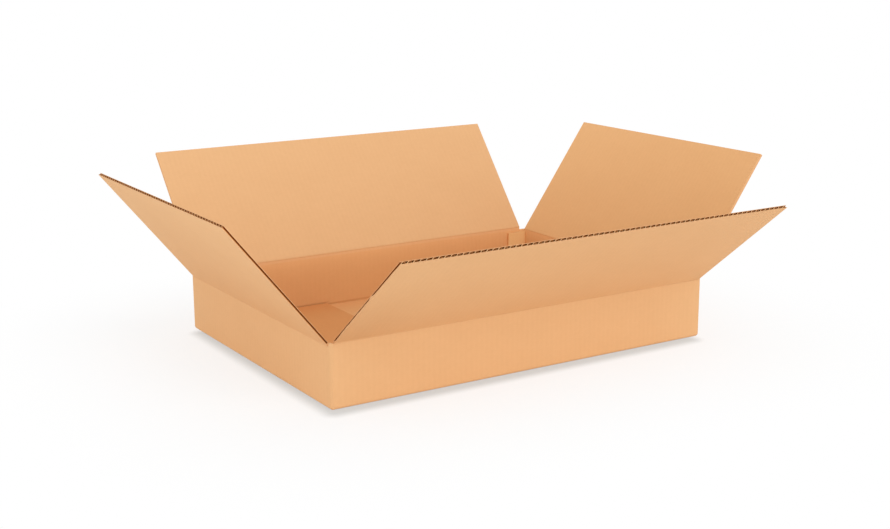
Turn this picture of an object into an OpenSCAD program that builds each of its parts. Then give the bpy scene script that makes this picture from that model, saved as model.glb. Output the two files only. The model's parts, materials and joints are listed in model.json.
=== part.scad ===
// Shallow slotted carton of corrugated kraft board, standing open with its four top flaps leaning outward.
// Origin: middle of the base. +X runs along the long walls, +Y from the front wall to the back, +Z up.

/* [Carton] */
// Clear inside length, along X
inside_length = 559; // [460:1:700]
// Clear inside width, along Y
inside_width = 406; // [260:1:440]
// Clear inside depth, from the upper floor layer to the closed short flaps
inside_depth = 68; // [40:1:160]

/* [Board] */
// Thickness of the board over both liners
board = 3.6; // [3:0.1:4.6]
// Thickness of each flat liner
liner = 0.4; // [0.2:0.05:0.6]
// Thickness of the fluted sheet between the liners
medium = 0.35; // [0.2:0.05:0.6]
// Spacing of the flutes
flute_pitch = 7.6; // [6.5:0.1:9]
// Flat width of a flute's crest, where it is glued to a liner
crest = 1.8; // [1.2:0.1:2.4]

/* [Folds] */
// Outer radius of the upright corner folds and of the base folds
fold_radius = 4.2; // [1:0.1:8]
// Radius of the rounded bead along the score of each top flap
score_bead = 0.6; // [0.3:0.05:0.9]
// Half angle of the crushed board on either side of a score
score_angle = 26; // [20:1:30]
// Running gap between a score's bead and the root of its flap
score_gap = 0.35; // [0.3:0.05:0.6]
// Height of the uncrushed rim that the score stands on
rim = 1; // [0.5:0.1:4]
// Width of the slots that part neighbouring flaps
slot = 6.4; // [6:0.1:10]
// Play between a flap's sides and the corners of the tray beside them
side_play = 0.4; // [0.3:0.1:0.8]

/* [Top flaps] */
// Gap left between the free edges of the long flaps when they are closed
closing_gap = 12; // [1:0.5:40]
// Room between the closed long flaps and the short flaps under them
flap_clearance = 0.4; // [0.3:0.1:2]
// Outward lean of the front flap from upright, in degrees
front_lean_angle = 51; // [0:0.5:100]
// Outward lean of the back flap from upright, in degrees
back_lean_angle = 41.5; // [0:0.5:100]
// Outward lean of the left flap from upright, in degrees
left_lean_angle = 39; // [0:0.5:100]
// Outward lean of the right flap from upright, in degrees
right_lean_angle = 35.5; // [0:0.5:100]
// Cut that narrows the right flap at its front side
right_trim = 7; // [1:0.5:14]

/* [Base] */
// Gap at the middle seam of the long bottom flaps
seam_gap = 0.5; // [0.3:0.1:0.6]

/* [Glued corner] */
// Reach of the glue tab along the inside of the back wall
tab_reach = 32; // [15:1:45]
// Height lost at each slanted end of the tab
tab_slant = 1; // [0.5:0.5:14]
// Trim that keeps the tab clear of the floor and of the closed short flap
tab_trim = 0.5; // [0.4:0.1:4]
// Cut at the score that narrows the back flap's side, from its full width at the free edge
joint_relief = 7; // [1:0.5:14]

/* [Hidden] */
$fn = 48;
// Overshoot that lets a cut pass right through a face
past = 1;
kraft_outside = [0.86, 0.67, 0.48];
kraft_inside = [0.84, 0.63, 0.43];

outer_length = inside_length + 2 * board;
outer_width = inside_width + 2 * board;
inner_radius = max(fold_radius - board, 0.2);
floor_top = 2 * board;
short_score = floor_top + inside_depth + board / 2;
long_score = short_score + board + flap_clearance;
taper = board / 2 / tan(score_angle);
rim_base = short_score - taper - rim;

// Distance from an outer face to the cut side of the flap at that corner
slot_inset = (board + slot) / 2;
long_flap_width = outer_length - 2 * slot_inset;
short_flap_width = outer_width - 2 * slot_inset;
flap_length = (outer_width - board - closing_gap) / 2;
base_flap = (outer_width - seam_gap) / 2;

// Half height of the space between the liners, and the run of a flute's web across it
flute_half = board / 2 - liner;
web_rise = 2 * flute_half - medium;
function web_run(pitch) = pitch / 2 - crest;
function web_lean(pitch) = web_run(pitch) / web_rise;
function web_half(pitch) = medium / 2 * norm([web_run(pitch), web_rise]) / web_rise;
// Half width of a flute's air space at its crest end, and at its open end
function cell_narrow(pitch) = crest / 2 + medium / 2 * web_lean(pitch) - web_half(pitch);
function cell_wide(pitch) = cell_narrow(pitch) + web_run(pitch) + medium / 2 * web_lean(pitch);

// Plan of a box with rounded upright corners
module rounded_plan(length, width, radius) {
    square([length - 2 * radius, width], center = true);
    square([length, width - 2 * radius], center = true);
    for (x = [-1, 1], y = [-1, 1])
        translate([x * (length / 2 - radius), y * (width / 2 - radius)]) circle(radius);
}

// Elevation of a wall pair whose foot is folded to a radius at both ends
module folded_elevation(span, height, radius) {
    translate([-span / 2, radius]) square([span, height - radius]);
    translate([radius - span / 2, 0]) square([span - 2 * radius, radius]);
    for (x = [-1, 1])
        translate([x * (span / 2 - radius), radius]) circle(radius);
}

// Turns an elevation upright and runs it along X
module along_x(length) {
    rotate([90, 0, 90]) linear_extrude(length, center = true) children();
}

// Turns an elevation upright and runs it along Y
module along_y(length) {
    rotate([90, 0, 0]) linear_extrude(length, center = true) children();
}

// Places its children at a wall's score: X along the score, -Y outward, Z up
module at_score(turn, span, height) {
    rotate([0, 0, turn]) translate([0, (board - span) / 2, height]) children();
}

module at_front_score() {
    at_score(0, outer_width, long_score) children();
}

module at_back_score() {
    at_score(180, outer_width, long_score) children();
}

module at_left_score() {
    at_score(-90, outer_length, short_score) children();
}

module at_right_score() {
    at_score(90, outer_length, short_score) children();
}

// Four walls and the floor, with rounded folds, up to the bottoms of the corner slots
module folded_shell() {
    intersection() {
        linear_extrude(long_score) rounded_plan(outer_length, outer_width, fold_radius);
        along_x(outer_length) folded_elevation(outer_width, long_score, fold_radius);
        along_y(outer_width) folded_elevation(outer_length, long_score, fold_radius);
    }
}

// Deeper slot at the glued corner
module joint_slot() {
    at_back_score() translate([-outer_length / 2 - past, -board / 2 - past, short_score - long_score])
        cube([slot_inset + joint_relief + past, slot_inset + past, long_score - short_score + past]);
}

// Inside of the tray, with the step from the short bottom flaps down to the long ones
module cavity() {
    translate([0, 0, floor_top])
        linear_extrude(long_score) rounded_plan(inside_length, inside_width, inner_radius);
    translate([0, 0, board]) linear_extrude(floor_top)
        square([outer_length - 2 * base_flap, inside_width], center = true);
}

// Slots that part the four bottom flaps from the walls beside them and from each other
module base_slots() {
    slit = slot_inset - board;
    under = board + past;
    short_run = base_flap - board;
    through = floor_top + past;
    // Seam of the long flaps, open to the inside between the short ones
    translate([-long_flap_width / 2, -seam_gap / 2, -past]) cube([long_flap_width, seam_gap, under]);
    translate([base_flap - outer_length / 2, -seam_gap / 2, -past])
        cube([outer_length - 2 * base_flap, seam_gap, through]);
    for (x = [0, 1], y = [0, 1]) mirror([x, 0, 0]) mirror([0, y, 0]) {
        // Ends of the long flaps, under the short ones
        translate([inside_length / 2 - slit, -past, -past]) cube([slit, inside_width / 2 + past, under]);
        // Sides of the short flaps, over the long ones
        translate([inside_length / 2 - short_run, inside_width / 2 - slit, board])
            cube([short_run, slit, through]);
        // Pinhole where the two meet at the corner
        translate([inside_length / 2 - slit, inside_width / 2 - slit, -past]) cube([slit, slit, through]);
    }
}

// Room for the crushed rim of one wall, between its two slots, short of a relief at its first end
module rim_notch(width, height, relief = 0) {
    translate([relief - width / 2 - side_play, -board / 2 - past, rim_base - height])
        cube([width - relief + 2 * side_play, board + 2 * past, long_score - rim_base + past]);
}

// Rim of one wall: the board is crushed to a rounded bead along the score
module scored_rim(width, height, relief = 0) {
    translate([relief / 2, 0, 0]) along_x(width - relief) {
        polygon([
            [-board / 2, rim_base - height], [board / 2, rim_base - height],
            [board / 2, -taper], [0, 0], [-board / 2, -taper]
        ]);
        circle(score_bead);
    }
}

// Strip of the right wall, folded round the corner and glued to the inside of the back wall
module glue_tab() {
    low = floor_top + tab_trim;
    high = short_score - board / 2 - tab_trim;
    fold_x = inside_length / 2;
    edge_x = fold_x - tab_reach;
    translate([0, (inside_width - board) / 2, 0]) along_y(board)
        polygon([[fold_x, low], [fold_x, high], [edge_x, high - tab_slant], [edge_x, low + tab_slant]]);
}

// The air spaces of the flutes across a flap, each side in turn open to one liner
module flute_cells(width) {
    count = round(width / flute_pitch);
    pitch = width / count;
    narrow = cell_narrow(pitch);
    wide = cell_wide(pitch);
    cell = [
        [-wide, -flute_half], [wide, -flute_half],
        [narrow, flute_half - medium], [-narrow, flute_half - medium]
    ];
    for (i = [0 : count])
        translate([i * pitch - width / 2, 0]) mirror([0, 1]) polygon(cell);
    for (i = [0 : count - 1])
        translate([(i + 0.5) * pitch - width / 2, 0]) polygon(cell);
}

// Wedge off the first side of a flap, from nothing at the free edge to the relief at the score
module side_relief(width, relief) {
    along_y(board + 2 * past) polygon([
        [-width / 2 - past, 0], [relief - width / 2, 0],
        [-width / 2, flap_length], [-width / 2 - past, flap_length]
    ]);
}

// Upright flap on its score: solid where the score is crushed, open flutes from there to the free edge
module flap_board(width) {
    root = score_bead + score_gap;
    root_half = root * tan(score_angle);
    difference() {
        along_x(width) polygon([
            [-root_half, root], [root_half, root], [board / 2, taper],
            [board / 2, flap_length], [-board / 2, flap_length], [-board / 2, taper]
        ]);
        translate([0, 0, taper + rim]) linear_extrude(flap_length) flute_cells(width);
    }
}

module tray() {
    color(kraft_outside) {
        difference() {
            folded_shell();
            cavity();
            base_slots();
            joint_slot();
            at_front_score() rim_notch(long_flap_width, long_score);
            at_back_score() rim_notch(long_flap_width, long_score, joint_relief);
            at_left_score() rim_notch(short_flap_width, short_score);
            at_right_score() rim_notch(short_flap_width, short_score, right_trim);
        }
        at_front_score() scored_rim(long_flap_width, long_score);
        at_back_score() scored_rim(long_flap_width, long_score, joint_relief);
        at_left_score() scored_rim(short_flap_width, short_score);
        at_right_score() scored_rim(short_flap_width, short_score, right_trim);
        glue_tab();
    }
}

module front_flap() {
    color(kraft_inside) at_front_score() rotate([front_lean_angle, 0, 0]) flap_board(long_flap_width);
}

module back_flap() {
    color(kraft_inside) at_back_score() rotate([back_lean_angle, 0, 0]) difference() {
        flap_board(long_flap_width);
        side_relief(long_flap_width, joint_relief);
    }
}

module left_flap() {
    color(kraft_inside) at_left_score() rotate([left_lean_angle, 0, 0]) flap_board(short_flap_width);
}

module right_flap() {
    color(kraft_inside) at_right_score() rotate([right_lean_angle, 0, 0])
        translate([right_trim / 2, 0, 0]) flap_board(short_flap_width - right_trim);
}

tray();
front_flap();
back_flap();
left_flap();
right_flap();
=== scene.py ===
"""Shallow corrugated carton standing open: its board sheets, creases, finish, floor, light and camera."""
import json
import math

import bmesh
import bpy
import numpy as np
from mathutils import Matrix, Vector


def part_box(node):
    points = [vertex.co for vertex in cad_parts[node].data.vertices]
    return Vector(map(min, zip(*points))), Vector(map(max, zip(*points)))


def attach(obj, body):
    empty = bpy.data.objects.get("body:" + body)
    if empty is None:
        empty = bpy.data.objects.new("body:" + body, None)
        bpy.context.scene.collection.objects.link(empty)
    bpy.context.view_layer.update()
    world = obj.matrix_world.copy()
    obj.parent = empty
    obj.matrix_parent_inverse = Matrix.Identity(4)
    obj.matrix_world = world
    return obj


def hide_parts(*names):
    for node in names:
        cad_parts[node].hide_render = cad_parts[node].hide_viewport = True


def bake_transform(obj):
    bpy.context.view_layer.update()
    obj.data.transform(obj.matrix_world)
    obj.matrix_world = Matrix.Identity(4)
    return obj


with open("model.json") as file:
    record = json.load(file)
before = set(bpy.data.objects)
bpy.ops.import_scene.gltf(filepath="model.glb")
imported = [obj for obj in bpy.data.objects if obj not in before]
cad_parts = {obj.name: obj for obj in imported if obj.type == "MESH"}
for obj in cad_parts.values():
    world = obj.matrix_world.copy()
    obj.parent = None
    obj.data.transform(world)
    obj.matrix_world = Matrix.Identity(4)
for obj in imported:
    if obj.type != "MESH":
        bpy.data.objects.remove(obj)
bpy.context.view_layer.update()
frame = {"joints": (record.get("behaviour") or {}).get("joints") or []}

MM = 0.001

# Board
BOARD = 3.6 * MM
LINER = 0.5 * MM
MEDIUM = 0.45 * MM
# Mouth of the fluted sheet at a free edge: reach, and thickness of the flank that the knife has spread
# and of the other one
MOUTH_REACH = 1.4 * MM
SPREAD_FLANK = 0.85 * MM
SHARP_FLANK = 0.2 * MM
# Height of a cut web over the cut liners beside it
WEB_PROUD = 0.02 * MM
FLUTE_PITCH = 7.6 * MM
FLUTE_STEPS = 16
HALF = BOARD / 2
HOLLOW = HALF - LINER
# Play between the fluted sheet and the liners, lap of its root past the end of the hollow, depth of its cut
# webs behind the free edge, and reach over which a flank spreads
MEDIUM_PLAY = 0.01 * MM
FLUTE_LAP = 0.1 * MM
WEB_DEPTH = 0.12 * MM
SPREAD_REACH = 0.3 * MM
# Gap between two layers of board that lie on each other
LAYER_GAP = 0.02 * MM

# Folds and scores
FOLD_RADIUS = 4.2 * MM
INNER_RADIUS = FOLD_RADIUS - BOARD
SLOT_INSET = 5.0 * MM
OUTWARD_LIMIT = 110.0
# Distance from a score's axis and half thickness of the crushed board there
SCORE_PROFILE = [
    (0.95, 0.463), (1.6, 0.78), (2.4, 1.17), (3.0, 1.45),
    (3.5, 1.64), (4.0, 1.745), (4.8, 1.79), (5.6, 1.8),
]
SCORE_PROFILE = [(d * MM, h * MM) for d, h in SCORE_PROFILE]
FLUTE_START = 4.7 * MM
# Reach of the folded sheet to either side of a score, and half its thickness
FOLD_REACH = 4.4 * MM
FOLD_HALF = 1.74 * MM
# Play between a flap's sides and the corners beside them, and between its sides and those of its fold
SIDE_PLAY = 0.1 * MM
FOLD_PLAY = 0.05 * MM

# Carton
FLAP_LENGTH = 198.8 * MM
BASE_FLAP_END = 0.25 * MM
SHORT_BASE_EDGE = 76.75 * MM
TAB_REACH = 32 * MM
TAB_TRIM = 0.5 * MM
TAB_SLANT = 1 * MM
JOINT_RELIEF = 7 * MM
RIGHT_TRIM = 7 * MM
# Kinds of the upright corners at the two ends of a wall, where one of them is the glued joint
CORNERS = {"right_flap": ("post", "joint"), "back_flap": ("joint", "post")}
# Flaps whose flutes are spread on the flank that falls along the score, not on the one that rises
FALLING_SPREAD = ("left_flap", "right_flap")
# Flaps whose sides are cut along the web of a flute, which closes them
CLOSED_SIDES = ("back_flap", "right_flap")
# Flaps whose first side is cut through a flute: share of it that the torn web still covers, from the score
# to the free edge
TORN_SIDES = {"front_flap": (
    0.35, 0.3, 0.4, 0.55, 0.5, 0.6, 0.45, 0.6, 0.5, 0.65, 0.5, 0.55, 0.6,
    0.45, 1.0, 0.4, 0.35, 0.3, 0.35, 0.3, 0.25, 0.3, 0.3, 0.15, 0.05,
)}
# Painted shade at the first corner of a flap, by the score: strength, reach along the score and up the flap
CORNER_SHADE = {"front_flap": (0.5, 90 * MM, 110 * MM)}
CORNER_SHADE_FADE = 1.3
# Painted shade and light on a flap's paper, set at the score's two ends and at the free edge's two ends
FLAP_SHADE = {
    "right_flap": ((0.35, -0.1), (0.0, -0.25)),
    "back_flap": ((0.0, -0.25), (0.0, -0.15)),
    "left_flap": ((-0.05, 0.25), (-0.25, -0.35)),
}
EVEN_SHADE = ((0.0, 0.0), (0.0, 0.0))
TURNS = {"front_flap": 0, "right_flap": 90, "back_flap": 180, "left_flap": -90}

tray_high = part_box("tray")[1]
OUTER = {True: 2 * tray_high.x, False: 2 * tray_high.y}


def walls():
    """Measures of the four walls and their flaps, by flap, in the order of a walk round the carton."""
    found = {}
    joints = {j["child"]: j for j in frame["joints"]}
    start = 0.0
    for flap, turn in TURNS.items():
        joint = joints[flap]
        long_side = turn % 180 == 0
        length = OUTER[long_side]
        base_width = length - 2 * SLOT_INSET
        trim = RIGHT_TRIM if flap == "right_flap" else 0.0
        found[flap] = {
            "turn": math.radians(turn),
            "length": length,
            "depth": OUTER[not long_side],
            "base_width": base_width,
            "width": base_width - trim,
            "shift": trim / 2,
            "corners": CORNERS.get(flap, ("post", "post")),
            "score": joint["pos_m"][2],
            "lean": math.radians(OUTWARD_LIMIT - joint["range_deg"][1]),
            "long": long_side,
            "relief": JOINT_RELIEF if flap == "back_flap" else 0.0,
            "middle": start + length / 2,
        }
        start += length
    return found


WALLS = walls()
SHORT_SCORE = WALLS["left_flap"]["score"]
CORNER_TOPS = {"post": WALLS["front_flap"]["score"], "joint": SHORT_SCORE}


def score_frame(wall, lean):
    """Frame of a wall's score: X along the score, minus Y outward, Z up the wall or along the flap."""
    place = Vector((0, HALF - wall["depth"] / 2, wall["score"]))
    turned = Matrix.Rotation(wall["turn"], 4, "Z")
    return turned @ Matrix.Translation(place) @ Matrix.Rotation(lean, 4, "X")


def wall_frame(wall):
    """Frame of a wall: X along it, Y from its outer face inward, Z up from the surface it stands on."""
    turned = Matrix.Rotation(wall["turn"], 4, "Z")
    return turned @ Matrix.Translation((0, -wall["depth"] / 2, 0))


def placed(matrix, points):
    """Points of any shape (..., 3) moved by a matrix."""
    m = np.array(matrix)
    return points @ m[:3, :3].T + m[:3, 3]


# Meshes
# Kinds of face on a band: near and far grid, cut sides and ends, and an inner side that is told apart
NEAR, FAR, SIDE, END, INNER_SIDE = range(5)
# Angle from which an edge is sharp, and reach within which points are joined and edges have no length
SHARP_ANGLE = math.radians(32)
WELD_REACH = 2e-6
EDGE_REACH = 1e-6
# Stretch along the sheet, in metres, that only a face over the ring's seam has
SEAM_STRETCH = 0.5


def band_faces(stations, count, closed):
    """Faces of a closed band between two grids, with the kind of each: near grid, far grid, side or end."""
    far = stations * count
    rows = np.arange(stations if closed else stations - 1)
    s, m = (g.ravel() for g in np.meshgrid(rows, np.arange(count - 1), indexing="ij"))
    here, there = s * count, (s + 1) % stations * count
    near_faces = np.stack([here + m, there + m, there + m + 1, here + m + 1], 1)
    far_faces = far + near_faces[:, ::-1]
    a, b = rows * count, (rows + 1) % stations * count
    last = count - 1
    first_side = np.stack([b, a, far + a, far + b], 1)
    last_side = np.stack([a + last, b + last, far + b + last, far + a + last], 1)
    groups = [(near_faces, NEAR), (far_faces, FAR), (first_side, SIDE), (last_side, SIDE)]
    if not closed:
        k = np.arange(last)
        groups.append((np.stack([k, k + 1, far + k + 1, far + k], 1), END))
        e = (stations - 1) * count + k
        groups.append((np.stack([e + 1, e, far + e, far + e + 1], 1), END))
    faces = np.concatenate([g for g, kind in groups])
    kinds = np.concatenate([np.full(len(g), kind) for g, kind in groups])
    return faces, kinds


def volume_sign(points, faces):
    """Sign of the volume within closed faces, positive where they look outward."""
    a, b, c, d = (points[faces[:, i]] for i in range(4))
    return np.sign((np.cross(a, b) * c).sum() + (np.cross(a, c) * d).sum())


def band(near, far, sheet_near, sheet_far, wear_and_shade, far_wear_and_shade=None, around=0.0):
    """Closed board between two grids of points, each with its place on the flat sheet and its wear and
    painted shade.

    A board that runs round as a ring has its length around along the sheet."""
    stations, count = near.shape[:2]
    points = np.concatenate([near.reshape(-1, 3), far.reshape(-1, 3)])
    sheet = np.concatenate([sheet_near.reshape(-1, 2), sheet_far.reshape(-1, 2)])
    faces, kinds = band_faces(stations, count, around > 0)
    if volume_sign(points, faces) < 0:
        faces = faces[:, ::-1]
    corner_sheet = sheet[faces]
    # Cut faces run on across the board's thickness
    across = (faces >= stations * count) & (kinds[:, None] >= SIDE)
    thick = np.linalg.norm(points[: stations * count] - points[stations * count:], axis=1).max()
    corner_sheet[across] += (0, thick)
    if around:
        along = corner_sheet[..., 0]
        over_seam = (along.max(1) - along.min(1)) > SEAM_STRETCH
        along += np.where(over_seam[:, None] & (along < SEAM_STRETCH), around, 0.0)
    worn_and_shaded = np.concatenate([wear_and_shade.ravel(), (wear_and_shade if far_wear_and_shade is None else far_wear_and_shade).ravel()])
    return points, faces, kinds, corner_sheet, worn_and_shaded


def piece(name, bands, materials, by_kind):
    """One object of one or more bands. Each kind of face has its own place in the list of materials."""
    points, faces, kinds, sheet, wear_and_shade = [], [], [], [], []
    start = 0
    for p, f, k, s, w in bands:
        points.append(p)
        faces.append(f + start)
        kinds.append(k)
        sheet.append(s)
        wear_and_shade.append(w)
        start += len(p)
    mesh = bpy.data.meshes.new(name)
    mesh.from_pydata(np.concatenate(points).tolist(), [], np.concatenate(faces).tolist())
    for material in materials:
        mesh.materials.append(material)
    slots = np.array(by_kind)[np.concatenate(kinds)]
    mesh.polygons.foreach_set("material_index", slots.astype(np.int32))
    layer = mesh.uv_layers.new(name="sheet")
    layer.uv.foreach_set("vector", np.concatenate(sheet).astype(np.float32).ravel())
    worn_and_shaded = mesh.attributes.new("wear_and_shade", "FLOAT", "POINT")
    worn_and_shaded.data.foreach_set("value", np.concatenate(wear_and_shade).astype(np.float32))
    weld(mesh)
    mesh.polygons.foreach_set("use_smooth", np.ones(len(mesh.polygons), bool))
    mesh.set_sharp_from_angle(angle=SHARP_ANGLE)
    obj = bpy.data.objects.new(name, mesh)
    bpy.context.scene.collection.objects.link(obj)
    return obj


def weld(mesh):
    """Joins points that coincide, so that no face without area is left."""
    work = bmesh.new()
    work.from_mesh(mesh)
    bmesh.ops.remove_doubles(work, verts=work.verts, dist=WELD_REACH)
    bmesh.ops.dissolve_degenerate(work, edges=work.edges, dist=EDGE_REACH)
    work.to_mesh(mesh)
    work.free()
    mesh.update()


# Materials
# Noise of the paper: scale per metre across and along the flutes, detail and roughness
PAPER_NOISE = {
    "cloud": ((16, 22), 3.0, 0.55),
    "blotch": ((110, 150), 3.0, 0.6),
    "fibre": ((160, 1500), 3.0, 0.65),
    "fine": ((1900, 2300), 2.0, 0.6),
}
# Specks of the paper: scale per metre, and for all of them the detail, and the noise at which a speck starts
# and is full
PAPER_SPECKS = {"dark_speck": (420, 900), "pale_speck": (650, 1300)}
SPECK_DETAIL = 1.0
SPECK_RANGE = (0.70, 0.80)
# Shares of these in the tone, as parts of the grain, in the roughness and in the height of the relief
TONE_SHARES = {
    "cloud": 0.55, "blotch": 0.55, "fibre": 0.75, "fine": 0.55, "dark_speck": -0.9, "pale_speck": 0.6,
}
ROUGH_SHARES = {"fibre": 0.14, "blotch": 0.08}
HEIGHT_SHARES = {"fibre": 0.35, "fine": 0.3, "wave": 0.45}
# Tone half way from dark to light, and what the grain adds to it on average
MIDDLE_TONE = 0.5
GRAIN_MEAN = 1.2
# Tone that a wear and painted shade of 1 takes from a paper
WEAR_AND_SHADE_TONE = 0.5
BASE_ROUGHNESS = 0.72
RELIEF_DEPTH = 0.06 * MM
# Places of the two colours and of the result among the sockets of a colour mix
MIX_FIRST, MIX_SECOND, MIX_RESULT = 6, 7, 2
WHITE = (1, 1, 1, 1)


def link(tree, source, target):
    """Links one socket to another."""
    tree.links.new(source, target)


def math_node(tree, operation, a, b):
    """Math node on two values, each a socket or a number."""
    made = tree.nodes.new("ShaderNodeMath")
    made.operation = operation
    for socket, value in zip(made.inputs, (a, b)):
        if isinstance(value, (int, float)):
            socket.default_value = value
        else:
            link(tree, value, socket)
    return made.outputs[0]


def stretched_noise(tree, sheet, scale, detail, rough=0.5):
    """Noise on the flat sheet, with its own scale across and along the flutes, per metre."""
    mapping = tree.nodes.new("ShaderNodeMapping")
    mapping.inputs["Scale"].default_value = (scale[0], scale[1], 1.0)
    link(tree, sheet, mapping.inputs["Vector"])
    noise = tree.nodes.new("ShaderNodeTexNoise")
    noise.inputs["Scale"].default_value = 1.0
    noise.inputs["Detail"].default_value = detail
    noise.inputs["Roughness"].default_value = rough
    link(tree, mapping.outputs["Vector"], noise.inputs["Vector"])
    return noise.outputs["Fac"]


def specks(tree, sheet, scale):
    """Sparse specks, 0 off them and 1 on them."""
    noise = stretched_noise(tree, sheet, scale, SPECK_DETAIL)
    ramp = tree.nodes.new("ShaderNodeMapRange")
    ramp.inputs["From Min"].default_value = SPECK_RANGE[0]
    ramp.inputs["From Max"].default_value = SPECK_RANGE[1]
    link(tree, noise, ramp.inputs["Value"])
    return ramp.outputs["Result"]


def flute_ripple(tree, sheet):
    """Ripple of the liner over the flutes, from minus 1 to 1."""
    parts = tree.nodes.new("ShaderNodeSeparateXYZ")
    link(tree, sheet, parts.inputs["Vector"])
    turn = math_node(tree, "MULTIPLY", parts.outputs["X"], 2 * math.pi / FLUTE_PITCH)
    return math_node(tree, "COSINE", turn, 0.0)


def weighted(tree, terms, base):
    """Sum of a base and of sockets times their weights."""
    total = base
    for socket, weight in terms:
        total = math_node(tree, "ADD", math_node(tree, "MULTIPLY", socket, weight), total)
    return total


def colour_mix(tree, factor, first, second):
    """Mix of two fixed colours, by a socket that is 0 for the first and 1 for the second."""
    made = tree.nodes.new("ShaderNodeMix")
    made.data_type = "RGBA"
    link(tree, factor, made.inputs["Factor"])
    made.inputs[MIX_FIRST].default_value = first
    made.inputs[MIX_SECOND].default_value = second
    return made.outputs[MIX_RESULT]


def paper_marks(tree, sheet):
    """All noises and specks of the paper and the ripple of the flutes, by name."""
    marks = {name: stretched_noise(tree, sheet, *noise) for name, noise in PAPER_NOISE.items()}
    for name, scale in PAPER_SPECKS.items():
        marks[name] = specks(tree, sheet, scale)
    marks["wave"] = flute_ripple(tree, sheet)
    return marks


def kraft(name, dark, light, grain, ripple, relief, gloss):
    """Kraft paper: blotches, fibres along the sheet, specks, a faint ripple, worn creases and painted shade
    and light.
    """
    made = bpy.data.materials.new(name)
    made.use_nodes = True
    tree = made.node_tree
    shader = tree.nodes["Principled BSDF"]
    place = tree.nodes.new("ShaderNodeUVMap")
    place.uv_map = "sheet"
    sheet = place.outputs["UV"]
    wear_and_shade = tree.nodes.new("ShaderNodeAttribute")
    wear_and_shade.attribute_name = "wear_and_shade"

    marks = paper_marks(tree, sheet)
    terms = [(marks[mark], share * grain) for mark, share in TONE_SHARES.items()]
    terms += [(marks["wave"], ripple), (wear_and_shade.outputs["Fac"], -WEAR_AND_SHADE_TONE)]
    tone = weighted(tree, terms, MIDDLE_TONE - GRAIN_MEAN * grain)
    colour = colour_mix(tree, tone, (*dark, 1.0), (*light, 1.0))
    link(tree, colour, shader.inputs["Base Color"])

    rough = weighted(tree, [(marks[mark], share) for mark, share in ROUGH_SHARES.items()], BASE_ROUGHNESS)
    link(tree, rough, shader.inputs["Roughness"])
    shader.inputs["Specular IOR Level"].default_value = gloss

    height = weighted(tree, [(marks[mark], share) for mark, share in HEIGHT_SHARES.items()], 0.0)
    bump = tree.nodes.new("ShaderNodeBump")
    bump.inputs["Strength"].default_value = relief
    bump.inputs["Distance"].default_value = RELIEF_DEPTH
    link(tree, height, bump.inputs["Height"])
    link(tree, bump.outputs["Normal"], shader.inputs["Normal"])
    return made


# Grain, ripple, relief and gloss of the faces, of cut edges and of the fluted sheet
FACE = {"grain": 0.2, "ripple": 0.012, "relief": 0.4, "gloss": 0.22}
CUT = {"grain": 0.5, "ripple": 0.0, "relief": 0.8, "gloss": 0.22}
FLUTED = {"grain": 0.4, "ripple": 0.0, "relief": 0.5, "gloss": 0.0}

LINER_PAPER = kraft("kraft_liner", (0.64, 0.328, 0.14), (0.94, 0.596, 0.31), **FACE)
# Painted shade: a darker, warmer copy of the liner for faces inside the carton
SHADED_INNER_PAPER = kraft("kraft_inner_shaded", (0.635, 0.313, 0.122), (0.93, 0.568, 0.272), **FACE)
# Painted shade: darker copies of the liner for the floor inside, deeper on the short bottom flaps
SHADED_FLOOR_PAPER = kraft("kraft_floor_shaded", (0.635, 0.29, 0.105), (0.93, 0.525, 0.235), **FACE)
SHADED_BASE_PAPER = kraft("kraft_base_shaded", (0.575, 0.222, 0.067), (0.835, 0.40, 0.15), **FACE)
# Painted light: a paler, yellower copy of the liner for the glue tab
LIT_TAB_PAPER = kraft("kraft_tab_lit", (0.75, 0.435, 0.18), (1.0, 0.72, 0.36), **FACE)
CUT_PAPER = kraft("kraft_cut_edge", (0.58, 0.28, 0.115), (0.92, 0.55, 0.28), **CUT)
# The fluted sheet: a darker medium, with painted shade deep in the flutes
SHADED_FLUTED_PAPER = kraft("kraft_fluted_shaded", (0.37, 0.115, 0.018), (0.60, 0.215, 0.045), **FLUTED)
# The liners' faces in the hollow: painted shade, a dark brown where only shade falls
SHADED_HOLLOW_PAPER = kraft("kraft_hollow_shaded", (0.31, 0.085, 0.008), (0.52, 0.165, 0.024), **FLUTED)


# Walls of the tray
# Heights of the lines across a wall, and top of an upright corner, by depth and height from its edge, in mm
Z_LINES = [66, 60, 52, 44, 36, 28, 20, 14, 10]
POST_TOP = [(1.55, 0), (1.2, 0), (0.85, 0), (0.55, 0), (0.4, 0), (0.15, -0.03), (0, -0.2), (0, -5.4)]
# Steps of the folds at the foot, of the inner one on a short wall, and of the upright folds
FOOT_STEPS = 9
SHORT_FOOT_STEPS = 4
CORNER_STEPS = 9
# Lines across the inner face over the fold: two on a long wall, one on the others
LONG_FOOT_LINES = (7.0 * MM, 5.6 * MM)
FOOT_LINE = 8.8 * MM
# Fewest stations along a wall, and the step between them on walls and flaps
FEWEST_STATIONS = 24
STATION_STEP = 12 * MM


def arc(centre, radius, turn_end, steps):
    """Points of a fold at the foot, from the wall's face towards the base."""
    turns = np.linspace(0, turn_end, steps)
    return [(centre[0] - radius * math.cos(t), centre[1] - radius * math.sin(t)) for t in turns]


def outer_foot(kind):
    """Outer fold at a wall's foot, whole on a long wall and cut off at its toe elsewhere."""
    reach = math.pi / 2 if kind == "long" else math.acos(INNER_RADIUS / FOLD_RADIUS)
    return arc((FOLD_RADIUS, FOLD_RADIUS), FOLD_RADIUS, reach, FOOT_STEPS)


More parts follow.
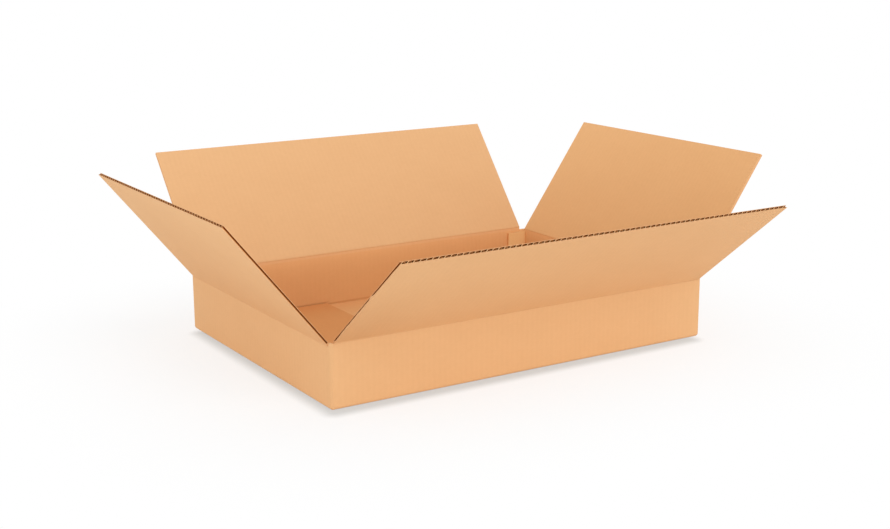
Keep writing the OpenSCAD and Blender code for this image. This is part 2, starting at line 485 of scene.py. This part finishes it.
def inner_foot(kind):
    """Inner line at a wall's foot, with as many points as the outer fold has."""
    toe = outer_foot(kind)[-1][1]
    if kind == "long":
        fold = arc((FOLD_RADIUS, FOLD_RADIUS), INNER_RADIUS, math.pi / 2, FOOT_STEPS - 2)
        return [(BOARD, z) for z in LONG_FOOT_LINES] + fold
    if kind == "short":
        fold = arc((FOLD_RADIUS, FOLD_RADIUS + BOARD), INNER_RADIUS, math.pi / 2, SHORT_FOOT_STEPS)
        under = [(FOLD_RADIUS, 1.5 * BOARD), (FOLD_RADIUS, BOARD), (BOARD, BOARD), (BOARD, toe)]
        return [(BOARD, FOOT_LINE)] + fold + under
    return [(BOARD, z) for z in np.linspace(FOOT_LINE, toe, FOOT_STEPS)]


def wall_profile(kind, score):
    """Outer and inner half of a wall's section, each from the score down to the foot."""
    if kind in CORNER_TOPS:
        outer = [(n * MM, CORNER_TOPS[kind] + z * MM) for n, z in POST_TOP]
        inner = [(BOARD - n, z) for n, z in outer]
    else:
        outer = [(HALF - h, score - d) for d, h in SCORE_PROFILE]
        inner = [(HALF + h, score - d) for d, h in SCORE_PROFILE]
    lines = [z * MM for z in Z_LINES]
    outer += [(0.0, z) for z in lines] + outer_foot(kind)
    inner += [(BOARD, z) for z in lines] + inner_foot(kind)
    return np.array(outer), np.array(inner)


# Wear of the outer faces along a score, at the top of a corner, on the fold at the foot and on upright folds
RIM_WEAR = [0.1, 0.07, 0.035, 0.015, 0.005, 0.0, 0.0, 0.0]
POST_WEAR = [0.04] * 6 + [0.01, 0.0]
FOOT_FOLD_WEAR = 0.035
CORNER_WEAR = 0.025
CORNER_PEAK = 0.05
# Painted shade and light on the inner faces by height: pale at the rim, darker towards the base,
# with a dark crease at the foot, partly worn score and partly painted shade
FADE_HEIGHTS = [z * MM for z in (10, 20, 36, 52, 66, 77)]
FADE_SHADE = [0.26, 0.26, 0.24, 0.14, -0.1, -0.4]
FOOT_CREASE_AND_SHADE = {"high": 1.3, "low": 2.2}


def profile_wear(kind):
    """Wear of a wall's outer face, from the score down to the foot."""
    rim = POST_WEAR if kind in CORNER_TOPS else RIM_WEAR
    foot = [FOOT_FOLD_WEAR * math.sin(t) ** 2 for t in np.linspace(0, math.pi, FOOT_STEPS)]
    return np.array(rim + [0.0] * len(Z_LINES) + foot)


def inner_shade(kind, heights, run):
    """Painted shade and light on a wall's inner face, with a dark crease at the foot, partly painted shade.

    Its crease lies lower where a long bottom flap shows between the short ones."""
    wear_and_shade = np.interp(heights, FADE_HEIGHTS, FADE_SHADE)
    if kind in CORNER_TOPS:
        return wear_and_shade
    if kind == "long" and abs(run) < SHORT_BASE_EDGE:
        wear_and_shade[1 - FOOT_STEPS] = FOOT_CREASE_AND_SHADE["low"] / 2
        wear_and_shade[2 - FOOT_STEPS:] = FOOT_CREASE_AND_SHADE["low"]
    else:
        wear_and_shade[-FOOT_STEPS:] = FOOT_CREASE_AND_SHADE["high"]
    return wear_and_shade


def wall_stations(wall):
    """Stations along one wall and round the fold at its end.

    Each has its place, inward direction, kind, place on the flat sheet and wear."""
    half, edge = wall["length"] / 2 - FOLD_RADIUS, wall["width"] / 2
    first, last = wall["shift"] + wall["relief"] - edge, wall["shift"] + edge
    start, end = wall["corners"]
    kind = "long" if wall["long"] else "short"
    inward = (0.0, 1.0)
    steps = max(FEWEST_STATIONS, int(wall["width"] / STATION_STEP))
    found = [((-half, 0.0), inward, start, -half, CORNER_WEAR), ((first, 0.0), inward, start, first, 0.0)]
    found += [((u, 0.0), inward, kind, u, 0.0) for u in np.linspace(first, last, steps)]
    found += [((last, 0.0), inward, end, last, 0.0), ((half, 0.0), inward, end, half, CORNER_WEAR)]
    for t in np.linspace(0, math.pi / 2, CORNER_STEPS)[1:-1]:
        out = (math.sin(t), -math.cos(t))
        place = (half + FOLD_RADIUS * out[0], FOLD_RADIUS + FOLD_RADIUS * out[1])
        run = half + FOLD_RADIUS * 2 * t / math.pi
        fold_wear = CORNER_WEAR + CORNER_PEAK * math.sin(2 * t)
        found.append((place, (-out[0], -out[1]), end, run, fold_wear))
    return found


def wall_ring():
    """The four walls and their upright folds as one closed board."""
    near, far, sheet_near, sheet_far, wear_and_shade, far_wear_and_shade = [], [], [], [], [], []
    for wall in WALLS.values():
        matrix = wall_frame(wall)
        for place, inward, kind, run, fold_wear in wall_stations(wall):
            outer, inner = wall_profile(kind, wall["score"])
            base, way = np.array(place), np.array(inward)
            for profile, faces, flat in ((outer, near, sheet_near), (inner, far, sheet_far)):
                flat_points = base + profile[:, :1] * way
                local = np.concatenate([flat_points, profile[:, 1:]], 1)
                faces.append(placed(matrix, local))
                down = np.full(len(profile), wall["middle"] + run)
                flat.append(np.stack([down, profile[:, 1]], 1))
            wear_and_shade.append(np.maximum(profile_wear(kind), fold_wear))
            # Inner faces take painted shade and light by height, and the crease at the foot
            far_wear_and_shade.append(inner_shade(kind, inner[:, 1], run))
    around = 2 * (OUTER[True] + OUTER[False])
    arrays = [np.array(a) for a in (near, far, sheet_near, sheet_far, wear_and_shade, far_wear_and_shade)]
    return band(*arrays, around=around)


# Flaps
# Flaps whose inner face has the warmer paper with the painted shade of the inside
SHADED_FLAPS = ("right_flap",)
# Fewest stations across a board, and distances of the closer ones from its sides
FEWEST_ACROSS = 8
SIDE_LINES = np.array([0.6, 2.0, 5.0]) * MM
# Lines along a flap: distances from the free edge, margins and number of the even ones, and the last one
# before the score
EDGE_LINES = [d * MM for d in (0, 0.6, 2.5, 7)]
FACE_MARGINS = (16 * MM, 14 * MM)
FACE_LINES = 15
LAST_LINE = 9 * MM


def straight(u, along):
    """Places across a board whose sides are cut straight along the flutes."""
    return u


def relieved(wall):
    """Places across a flap on its wall, whose first side is cut back by the relief at the score."""
    def cut(u, along):
        relief = wall["relief"] * (1 - along / FLAP_LENGTH)
        return u + wall["shift"] + relief * (0.5 - u / wall["width"])
    return cut


def open_board(profile, hollow_start, stations, matrix, flat, wear_and_shade, cut=straight):
    """Two liners joined at their root, and open at the sides and at the free edge.

    The profile lists distance along the flutes and half thickness, from the free edge to the root. Faces
    on the inner side have a kind of their own."""
    v, h = np.array(profile).T
    inside = v >= hollow_start
    closed_end = np.linspace(HOLLOW, 0, (~inside).sum() + 1)[:-1]
    hollow_v = np.where(inside, v, hollow_start)
    hollow_n = np.concatenate([np.full(inside.sum(), HOLLOW), closed_end])
    grids, sheets = [], []
    for along, depth in ((v, h), (hollow_v, hollow_n)):
        u = np.repeat(stations[:, None], 2 * len(along), 1)
        along = np.broadcast_to(np.concatenate([along, along[::-1]]), u.shape)
        n = np.broadcast_to(np.concatenate([-depth, depth[::-1]]), u.shape)
        u = cut(u, along)
        grids.append(placed(matrix, np.stack([u, n, along], -1)))
        sheets.append(np.stack([flat[0] + u, flat[1] + flat[2] * along], -1))
    worn_and_shaded = np.concatenate([wear_and_shade, wear_and_shade[:, ::-1]], 1)
    points, faces, kinds, sheet, worn_and_shaded = band(*grids, *sheets, worn_and_shaded)
    rows, columns = len(stations) - 1, 2 * len(profile) - 1
    kinds[: rows * columns].reshape(rows, columns)[:, len(profile):] = INNER_SIDE
    return points, faces, kinds, sheet, worn_and_shaded


def fluted_sheet(width, root, length, matrix, flat, cut=straight, spread=1):
    """The fluted sheet between the liners, with its crests towards the outer liner at both sides.

    It runs from its root to just short of the free edge, where the knife has spread one flank of each flute:
    the one that rises along the score for 1, the one that falls for minus 1."""
    count = max(1, round(width / FLUTE_PITCH))
    u = np.linspace(-width / 2, width / 2, count * FLUTE_STEPS + 1)
    wave = 2 * math.pi * count / width
    phase = wave * (u + width / 2)
    height = HOLLOW - MEDIUM / 2 - MEDIUM_PLAY
    slope = height * wave * np.sin(phase)
    size = np.hypot(1, slope)
    n = -height * np.cos(phase)
    cut_thick = SHARP_FLANK + (SPREAD_FLANK - SHARP_FLANK) * np.clip(spread * np.sin(phase), 0, 1)
    mouth = length - MOUTH_REACH
    rows = [(root, MEDIUM), (length / 2, MEDIUM), (mouth, MEDIUM)]
    rows += [(mouth + SPREAD_REACH, cut_thick), (length - WEB_DEPTH, cut_thick)]
    sides = []
    for way in (1, -1):
        grid = []
        for along, thick in rows:
            offset = way * thick / 2 / size
            side_u = np.clip(u - offset * slope, -width / 2, width / 2)
            side_n = np.clip(n + offset, -HOLLOW, HOLLOW)
            grid.append(np.stack([cut(side_u, along), side_n, np.full_like(u, along)], -1))
        sides.append(placed(matrix, np.stack(grid)))
    run = np.concatenate([[0], np.cumsum(np.diff(u) * size[1:])])
    flat_rows = [np.full_like(u, flat[1] + flat[2] * along) for along, thick in rows]
    sheet = np.stack([np.stack([flat[0] + run, row], -1) for row in flat_rows])
    return band(sides[0], sides[1], sheet, sheet, np.zeros(sheet.shape[:2]))


def side_web(side, width, ends, matrix, flat, cut, share=1.0):
    """Web of the last flute, which closes one side of a board, or a share of it next to the outer liner."""
    along, n = np.meshgrid(ends, [-HOLLOW, HOLLOW], indexing="ij")
    n[:, 1] = (2 * np.asarray(share) - 1) * HOLLOW
    grids = []
    for u in (side * (width / 2 + WEB_PROUD), side * (width / 2 - MEDIUM)):
        grids.append(placed(matrix, np.stack([cut(u, along), n, along], -1)))
    sheet = np.stack([flat[0] + n, flat[1] + flat[2] * along], -1)
    points, faces, kinds, sheet, worn_and_shaded = band(*grids, sheet, sheet, np.zeros(n.shape))
    return points, faces, np.full_like(kinds, SIDE), sheet, worn_and_shaded


def edge_stations(width, step):
    """Stations across a flap, closer together at its two sides."""
    middle = np.linspace(-width / 2, width / 2, max(FEWEST_ACROSS, int(width / step)))
    return np.unique(np.concatenate([middle, SIDE_LINES - width / 2, width / 2 - SIDE_LINES]))


def flap_profile(length):
    """Distance along a top flap and half thickness, from the free edge to the score."""
    edge = [length - d for d in EDGE_LINES]
    face = list(np.linspace(length - FACE_MARGINS[0], FACE_MARGINS[1], FACE_LINES))
    return [(v, HALF) for v in edge + face + [LAST_LINE]] + SCORE_PROFILE[::-1]


def flap_shade(name, across):
    """Painted shade and light at a flap's score and at its free edge, at places from 0 to 1 across it."""
    return [np.interp(across, (0, 1), ends)[:, None] for ends in FLAP_SHADE.get(name, EVEN_SHADE)]


def flap_papers(name, papers, by_kind, inner_kind):
    """Papers of a flap's board and kinds of face, with painted shade in a warmer inner face where the flap
    has one.
    """
    if name not in SHADED_FLAPS:
        return papers, by_kind
    shaded = [len(papers) if kind == inner_kind else slot for kind, slot in enumerate(by_kind)]
    return papers + [SHADED_INNER_PAPER], shaded


def flap_tone(name, profile, stations, width):
    """Wear, and painted shade and light, of a flap's faces at each station across it and each line along it.
    """
    height = np.array(profile)[:, 0]
    wear_and_shade = np.zeros((len(stations), len(profile)))
    wear_and_shade[:, -len(RIM_WEAR):] = RIM_WEAR[::-1]
    # Painted shade and light from the ends of the score and of the free edge
    score_shade, edge_shade = flap_shade(name, stations / width + 0.5)
    rise = height / FLAP_LENGTH
    wear_and_shade += score_shade * (1 - rise) + edge_shade * rise
    # Painted shade near the flap's first corner
    if name in CORNER_SHADE:
        strength, reach, top = CORNER_SHADE[name]
        fade = np.clip(CORNER_SHADE_FADE - height / top, 0, 1)
        wear_and_shade += strength * np.exp(-((stations[:, None] + width / 2) / reach) ** 2) * fade
    return wear_and_shade


def flap_sheets(name, width, matrix, flat, cut):
    """The fluted sheet of a flap, and the webs that close its sides or are torn there."""
    root, web_end = FLUTE_START - FLUTE_LAP, FLAP_LENGTH - WEB_DEPTH
    spread = -1 if name in FALLING_SPREAD else 1
    sheets = [fluted_sheet(width, root, FLAP_LENGTH, matrix, flat, cut, spread)]
    if name in CLOSED_SIDES:
        ends = (root, FLAP_LENGTH / 2, web_end)
        sheets += [side_web(side, width, ends, matrix, flat, cut) for side in (-1, 1)]
    if name in TORN_SIDES:
        share = TORN_SIDES[name]
        ends = np.linspace(root, web_end, len(share))
        sheets.append(side_web(-1, width, ends, matrix, flat, cut, share))
    return sheets


def flap(name, wall):
    """One top flap: its two liners, and the fluted sheet between them."""
    matrix = score_frame(wall, wall["lean"])
    profile = flap_profile(FLAP_LENGTH)
    flat = (wall["middle"], wall["score"], 1)
    cut = relieved(wall)
    width = wall["width"] - 2 * SIDE_PLAY
    stations = edge_stations(width, STATION_STEP)
    wear_and_shade = flap_tone(name, profile, stations, width)
    board = open_board(profile, FLUTE_START, stations, matrix, flat, wear_and_shade, cut)
    papers, kinds = flap_papers(name, [LINER_PAPER, SHADED_HOLLOW_PAPER, CUT_PAPER], [0, 1, 2, 2, 0], INNER_SIDE)
    liners = piece(name + "_liners", [board], papers, kinds)
    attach(liners, name)
    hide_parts(name)
    sheets = flap_sheets(name, width, matrix, flat, cut)
    flutes = piece(name + "_flutes", sheets, [SHADED_FLUTED_PAPER, CUT_PAPER], [0, 0, 1, 1])
    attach(flutes, name)


# Creases
CREASE_STEPS = 9
FOLD_STEPS = 5
# Rounding of the fold's hollow side, and reach to either side of a score of two points on the fold's chord
FOLD_ROUND = 0.5 * MM
BEND_REACH = 0.75 * MM
# Wear of the inner side on the score's line and half the width of that line
FOLD_WEAR = 0.2
LINE_REACH = 1.1 * MM
# Wear of the outer side on the score's line, and distance over which a whole unit of it fades
CREASE_WEAR = 0.1
CREASE_FADE = 15 * MM


def fold_section(lean):
    """Outer and inner line of the sheet through a score, each from the wall to the flap, and its run."""
    along = np.array([-math.sin(lean), math.cos(lean)])
    outward = np.array([-math.cos(lean), -math.sin(lean)])
    meet = FOLD_HALF * math.tan(lean / 2)
    steps = np.linspace(0, 1, CREASE_STEPS)[1:-1, None]
    runs = np.linspace(FOLD_REACH, meet + FOLD_ROUND, FOLD_STEPS)[:, None]
    corner = np.array([-FOLD_HALF, -meet])
    wall_end, flap_end = corner - (0, FOLD_ROUND), corner + FOLD_ROUND * along
    round_in = (1 - steps) ** 2 * wall_end + 2 * steps * (1 - steps) * corner + steps ** 2 * flap_end
    wall_side = np.hstack([np.full_like(runs, -FOLD_HALF), -runs])
    outer = np.vstack([wall_side, round_in, (runs * along + FOLD_HALF * outward)[::-1]])
    runs = np.linspace(FOLD_REACH, 0, FOLD_STEPS)[:, None]
    turns = steps * lean
    round_out = FOLD_HALF * np.hstack([np.cos(turns), np.sin(turns)])
    wall_side = np.hstack([np.full_like(runs, FOLD_HALF), -runs])
    inner = np.vstack([wall_side, round_out, (runs * along - FOLD_HALF * outward)[::-1]])
    run = np.concatenate([-runs[:, 0], np.zeros(len(steps)), runs[::-1, 0]])
    return outer, inner, run


def crease(name, wall):
    """The folded sheet along a score, at its flap's lean."""
    matrix = score_frame(wall, 0.0)
    width = wall["width"] - 2 * (SIDE_PLAY + FOLD_PLAY)
    flat_stations = edge_stations(width, STATION_STEP)
    stations = relieved(wall)(flat_stations, 0.0)
    outer, inner, run = fold_section(wall["lean"])
    u = np.repeat(stations[:, None], len(run), 1)
    grids = []
    for line in (outer, inner):
        y, z = (np.broadcast_to(line[:, i], u.shape) for i in (0, 1))
        grids.append(placed(matrix, np.stack([u, y, z], -1)))
    sheet = np.stack([wall["middle"] + u, np.broadcast_to(wall["score"] + run, u.shape)], -1)
    outer_wear = np.clip(CREASE_WEAR - np.abs(run) / CREASE_FADE, 0, 1)
    # Inner side: the painted light at the rim of the walls' inner faces runs into the score's line
    inner_line = np.interp(run, [-LINE_REACH, 0, LINE_REACH], [FADE_SHADE[-1], FOLD_WEAR, 0])
    # Painted shade and light of the flap's score ends, carried into the fold
    score_shade = flap_shade(name, flat_stations / width + 0.5)[0] * np.clip(run / FOLD_REACH, 0, 1)
    wear_and_shade, far_wear_and_shade = (score_shade + w for w in (outer_wear, inner_line))
    board = band(grids[0], grids[1], sheet, sheet, wear_and_shade, far_wear_and_shade)
    papers, kinds = flap_papers(name, [LINER_PAPER, CUT_PAPER], [0, 0, 0, 1], FAR)
    made = piece(name + "_crease", [board], papers, kinds)
    half_lean = wall["lean"] / 2
    chord = Vector((0, -math.sin(half_lean), math.cos(half_lean)))
    start, end = (matrix @ (side * BEND_REACH * chord) for side in (-1, 1))
    tuple(start)
    tuple(end)
    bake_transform(made)


# Bottom flaps
# Lines along a bottom flap: distances from the free edge, margins and number of the even ones, and distances
# from the fold
BASE_EDGE_LINES = [d * MM for d in (0, 0.6, 3)]
BASE_MARGINS = (10 * MM, 12 * MM)
BASE_LINES = 12
BASE_FOLD_LINES = [d * MM for d in (4, 2, 0)]
BASE_HOLLOW = 3 * MM
BASE_STEP = 14 * MM


def base_flap(name, wall, low, free_edge):
    """One bottom flap, from the fold at the wall's foot to its free edge."""
    turned = Matrix.Rotation(wall["turn"], 4, "Z")
    # Local Z of the board runs inward along the base, and its outer side faces down
    inward = Matrix(((1, 0, 0, 0), (0, 0, 1, 0), (0, 1, 0, 0), (0, 0, 0, 1)))
    root = -wall["depth"] / 2 + FOLD_RADIUS
    matrix = turned @ Matrix.Translation((0, root, low + HALF)) @ inward
    length = -free_edge - root
    edge = [length - d for d in BASE_EDGE_LINES]
    face = list(np.linspace(length - BASE_MARGINS[0], BASE_MARGINS[1], BASE_LINES))
    profile = [(v, HALF) for v in edge + face + BASE_FOLD_LINES]
    flat = (wall["middle"], -FOLD_RADIUS, -1)
    width = wall["base_width"]
    stations = edge_stations(width, BASE_STEP)
    wear_and_shade = np.zeros((len(stations), len(profile)))
    board = open_board(profile, BASE_HOLLOW, stations, matrix, flat, wear_and_shade)
    # The upper face inside the carton takes a paper with painted shade, darker on the short bottom flaps
    papers = [LINER_PAPER, SHADED_HOLLOW_PAPER, CUT_PAPER, SHADED_FLOOR_PAPER if wall["long"] else SHADED_BASE_PAPER]
    liners = piece(name + "_liners", [board], papers, [0, 1, 2, 2, 3])
    sheet = fluted_sheet(width, BASE_HOLLOW - FLUTE_LAP, length, matrix, flat)
    flutes = piece(name + "_flutes", [sheet], [SHADED_FLUTED_PAPER, CUT_PAPER], [0, 0, 1, 1])
    for made in (liners, flutes):
        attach(made, "tray")


# Glue tab
TAB_LINES = 12
TAB_STATIONS = 9


def glue_tab():
    """Strip of the right wall, folded round the corner and glued inside the back wall."""
    wall = WALLS["back_flap"]
    low, high = 2 * BOARD + TAB_TRIM, SHORT_SCORE - HALF - TAB_TRIM
    corner = OUTER[True] / 2 - BOARD
    face = wall["depth"] / 2 - BOARD - HALF - LAYER_GAP
    # Local X runs up the tab, local Y to its shown face and local Z from the fold to the free edge
    turned = Matrix(((0, 0, -1, 0), (0, -1, 0, 0), (1, 0, 0, 0), (0, 0, 0, 1)))
    matrix = Matrix.Translation((corner, face, (low + high) / 2)) @ turned
    heights = np.linspace(low, high, TAB_LINES) - (low + high) / 2
    up, along = np.meshgrid(heights, np.linspace(0, TAB_REACH, TAB_STATIONS), indexing="ij")
    up = up * (1 - 2 * TAB_SLANT / (high - low) * along / TAB_REACH)
    grids = [placed(matrix, np.stack([up, np.full_like(up, n), along], -1)) for n in (HALF, -HALF)]
    sheet = np.stack([wall["middle"] - corner + along, up], -1)
    board = band(*grids, sheet, sheet, np.zeros(up.shape))
    # The tab's faces take a paper with painted light, its cut sides and ends papers with painted shade
    made = piece("glue_tab", [board], [LIT_TAB_PAPER, SHADED_FLOOR_PAPER, SHADED_INNER_PAPER], [0, 0, 1, 2])
    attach(made, "tray")


# Whole carton
# The inner faces take the paper with the painted shade of the inside
ring = piece("tray_walls", [wall_ring()], [LINER_PAPER, SHADED_INNER_PAPER, CUT_PAPER], [0, 1, 2, 2])
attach(ring, "tray")
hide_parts("tray")
for flap_name, flap_wall in WALLS.items():
    flap(flap_name, flap_wall)
    crease(flap_name, flap_wall)
base_flap("base_front", WALLS["front_flap"], 0.0, BASE_FLAP_END)
base_flap("base_back", WALLS["back_flap"], 0.0, BASE_FLAP_END)
base_flap("base_left", WALLS["left_flap"], BOARD + LAYER_GAP, SHORT_BASE_EDGE)
base_flap("base_right", WALLS["right_flap"], BOARD + LAYER_GAP, SHORT_BASE_EDGE)
glue_tab()


# Floor
def seen_directly(tree):
    """1 for rays from the eye, for reflections and for light through glass, otherwise 0."""
    path = tree.nodes.new("ShaderNodeLightPath")
    names = ("Is Camera Ray", "Is Glossy Ray", "Is Transmission Ray")
    seen = path.outputs[names[0]]
    for other in names[1:]:
        seen = math_node(tree, "MAXIMUM", seen, path.outputs[other])
    return seen


FLOOR_REACH = 8.0
FLOOR_COLOUR = (0.92, 0.92, 0.92, 1)
# Faint light of the floor's own, which lifts the undersides of the flaps
FLOOR_FILL = 0.05
# Colour of the shadow painted under the base
SHADOW_COLOUR = (0.61, 0.625, 0.62, 1)
# Drift of the base's painted shadow over the floor, towards the front left
SHADOW_DRIFT = (-11 * MM, -18 * MM, 0)
SHADOW_BLUR = 24 * MM
# Share of the lit floor, with the shadow cast on it, that shows by the base, and how far out it shows
CAST_SHARE = 0.25
CAST_REACH = 350 * MM


def vector_node(tree, operation, a, b):
    """Vector math node on a socket and a fixed vector."""
    made = tree.nodes.new("ShaderNodeVectorMath")
    made.operation = operation
    link(tree, a, made.inputs[0])
    made.inputs[1].default_value = b
    return made


def past_base(tree, drift, reach):
    """0 over the base, rising softly to 1 at a given reach past it."""
    place = tree.nodes.new("ShaderNodeTexCoord").outputs["Object"]
    place = vector_node(tree, "SUBTRACT", place, drift).outputs["Vector"]
    place = vector_node(tree, "ABSOLUTE", place, (0, 0, 0)).outputs["Vector"]
    inner = [OUTER[long_side] / 2 - SHADOW_BLUR / 2 for long_side in (True, False)]
    place = vector_node(tree, "SUBTRACT", place, (*inner, 0)).outputs["Vector"]
    place = vector_node(tree, "MAXIMUM", place, (0, 0, 0)).outputs["Vector"]
    past = vector_node(tree, "LENGTH", place, (0, 0, 0)).outputs["Value"]
    fade = tree.nodes.new("ShaderNodeMapRange")
    fade.interpolation_type = "SMOOTHSTEP"
    fade.inputs["From Max"].default_value = reach
    link(tree, past, fade.inputs["Value"])
    return fade.outputs["Result"]


def base_shadow(tree):
    """White, with a painted soft neutral shadow under the base and a little way out in front of it."""
    fade = past_base(tree, SHADOW_DRIFT, SHADOW_BLUR)
    return colour_mix(tree, fade, SHADOW_COLOUR, WHITE)


def plain_share(tree):
    """Share of the floor that shows plain: the rest shows the cast shadow, near the base only."""
    far = past_base(tree, (0, 0, 0), CAST_REACH)
    return math_node(tree, "ADD", math_node(tree, "MULTIPLY", far, CAST_SHARE), 1 - CAST_SHARE)


def floor():
    """White floor with the painted soft shadow of the base and some of the shadow cast round it."""
    mesh = bpy.data.meshes.new("floor")
    corners = [(x * FLOOR_REACH, y * FLOOR_REACH, 0) for x, y in ((-1, -1), (1, -1), (1, 1), (-1, 1))]
    mesh.from_pydata(corners, [], [(0, 1, 2, 3)])
    made = bpy.data.materials.new("floor_white")
    made.use_nodes = True
    tree = made.node_tree
    tree.nodes.remove(tree.nodes["Principled BSDF"])
    matt = tree.nodes.new("ShaderNodeBsdfDiffuse")
    matt.inputs["Color"].default_value = FLOOR_COLOUR
    fill = tree.nodes.new("ShaderNodeEmission")
    fill.inputs["Strength"].default_value = FLOOR_FILL
    lit = tree.nodes.new("ShaderNodeAddShader")
    link(tree, matt.outputs[0], lit.inputs[0])
    link(tree, fill.outputs[0], lit.inputs[1])
    shown = tree.nodes.new("ShaderNodeEmission")
    shown.inputs["Strength"].default_value = 1.0
    link(tree, base_shadow(tree), shown.inputs["Color"])
    mix = tree.nodes.new("ShaderNodeMixShader")
    link(tree, math_node(tree, "MULTIPLY", seen_directly(tree), plain_share(tree)), mix.inputs["Fac"])
    link(tree, lit.outputs[0], mix.inputs[1])
    link(tree, shown.outputs[0], mix.inputs[2])
    link(tree, mix.outputs[0], tree.nodes["Material Output"].inputs["Surface"])
    mesh.materials.append(made)
    obj = bpy.data.objects.new("floor", mesh)
    bpy.context.scene.collection.objects.link(obj)


# Light
def world_light(low, high):
    """Soft light from all round, with one strength near the horizon and another overhead."""
    world = bpy.data.worlds.new("studio")
    bpy.context.scene.world = world
    world.use_nodes = True
    tree = world.node_tree
    soft = tree.nodes["Background"]
    soft.inputs["Color"].default_value = WHITE
    way = tree.nodes.new("ShaderNodeTexCoord")
    parts = tree.nodes.new("ShaderNodeSeparateXYZ")
    link(tree, way.outputs["Generated"], parts.inputs["Vector"])
    level = tree.nodes.new("ShaderNodeMapRange")
    level.inputs["To Min"].default_value = low
    level.inputs["To Max"].default_value = high
    link(tree, parts.outputs["Z"], level.inputs["Value"])
    link(tree, level.outputs["Result"], soft.inputs["Strength"])
    white = tree.nodes.new("ShaderNodeBackground")
    white.inputs["Color"].default_value = WHITE
    white.inputs["Strength"].default_value = 1.0
    mix = tree.nodes.new("ShaderNodeMixShader")
    link(tree, seen_directly(tree), mix.inputs["Fac"])
    link(tree, soft.outputs[0], mix.inputs[1])
    link(tree, white.outputs[0], mix.inputs[2])
    link(tree, mix.outputs[0], tree.nodes["World Output"].inputs["Surface"])


def softbox(name, place, target, size, power):
    """Rectangular soft lamp that faces its target."""
    light = bpy.data.lights.new(name, "AREA")
    light.shape = "RECTANGLE"
    light.size, light.size_y = size
    light.energy = power
    obj = bpy.data.objects.new(name, light)
    obj.location = place
    way = Vector(target) - Vector(place)
    obj.rotation_euler = way.to_track_quat("-Z", "Y").to_euler()
    bpy.context.scene.collection.objects.link(obj)


# Camera
IMAGE_WIDTH = 890.0
FOCAL_PIXELS = 1388.2
CAMERA_PLACE = (-0.9825, -1.566, 0.54)
CAMERA_AZIMUTH = math.radians(-32.18)
CAMERA_ELEVATION = math.radians(13.503)
CAMERA_ROLL = math.radians(-0.215)


def camera():
    """Camera at the front left, a little above the flaps."""
    data = bpy.data.cameras.new("camera")
    data.sensor_fit = "HORIZONTAL"
    data.sensor_width = 36.0
    data.lens = FOCAL_PIXELS / IMAGE_WIDTH * data.sensor_width
    data.clip_end = 50.0
    a, e, r = CAMERA_AZIMUTH, CAMERA_ELEVATION, CAMERA_ROLL
    back = Vector((math.sin(a) * math.cos(e), -math.cos(a) * math.cos(e), math.sin(e)))
    right = Vector((math.cos(a), math.sin(a), 0))
    up = back.cross(right)
    rolled = right * math.cos(r) + up * math.sin(r)
    turned = Matrix((rolled, back.cross(rolled), back)).transposed()
    obj = bpy.data.objects.new("camera", data)
    obj.matrix_world = Matrix.Translation(CAMERA_PLACE) @ turned.to_4x4()
    bpy.context.scene.collection.objects.link(obj)
    bpy.context.scene.camera = obj


floor()
world_light(low=1.5, high=0.51)
softbox("softbox", place=(0.0, -2.4, 2.5), target=(0, 0, 0.1), size=(2.0, 2.0), power=23.6)
camera()
bpy.context.scene.view_settings.view_transform = "Standard"
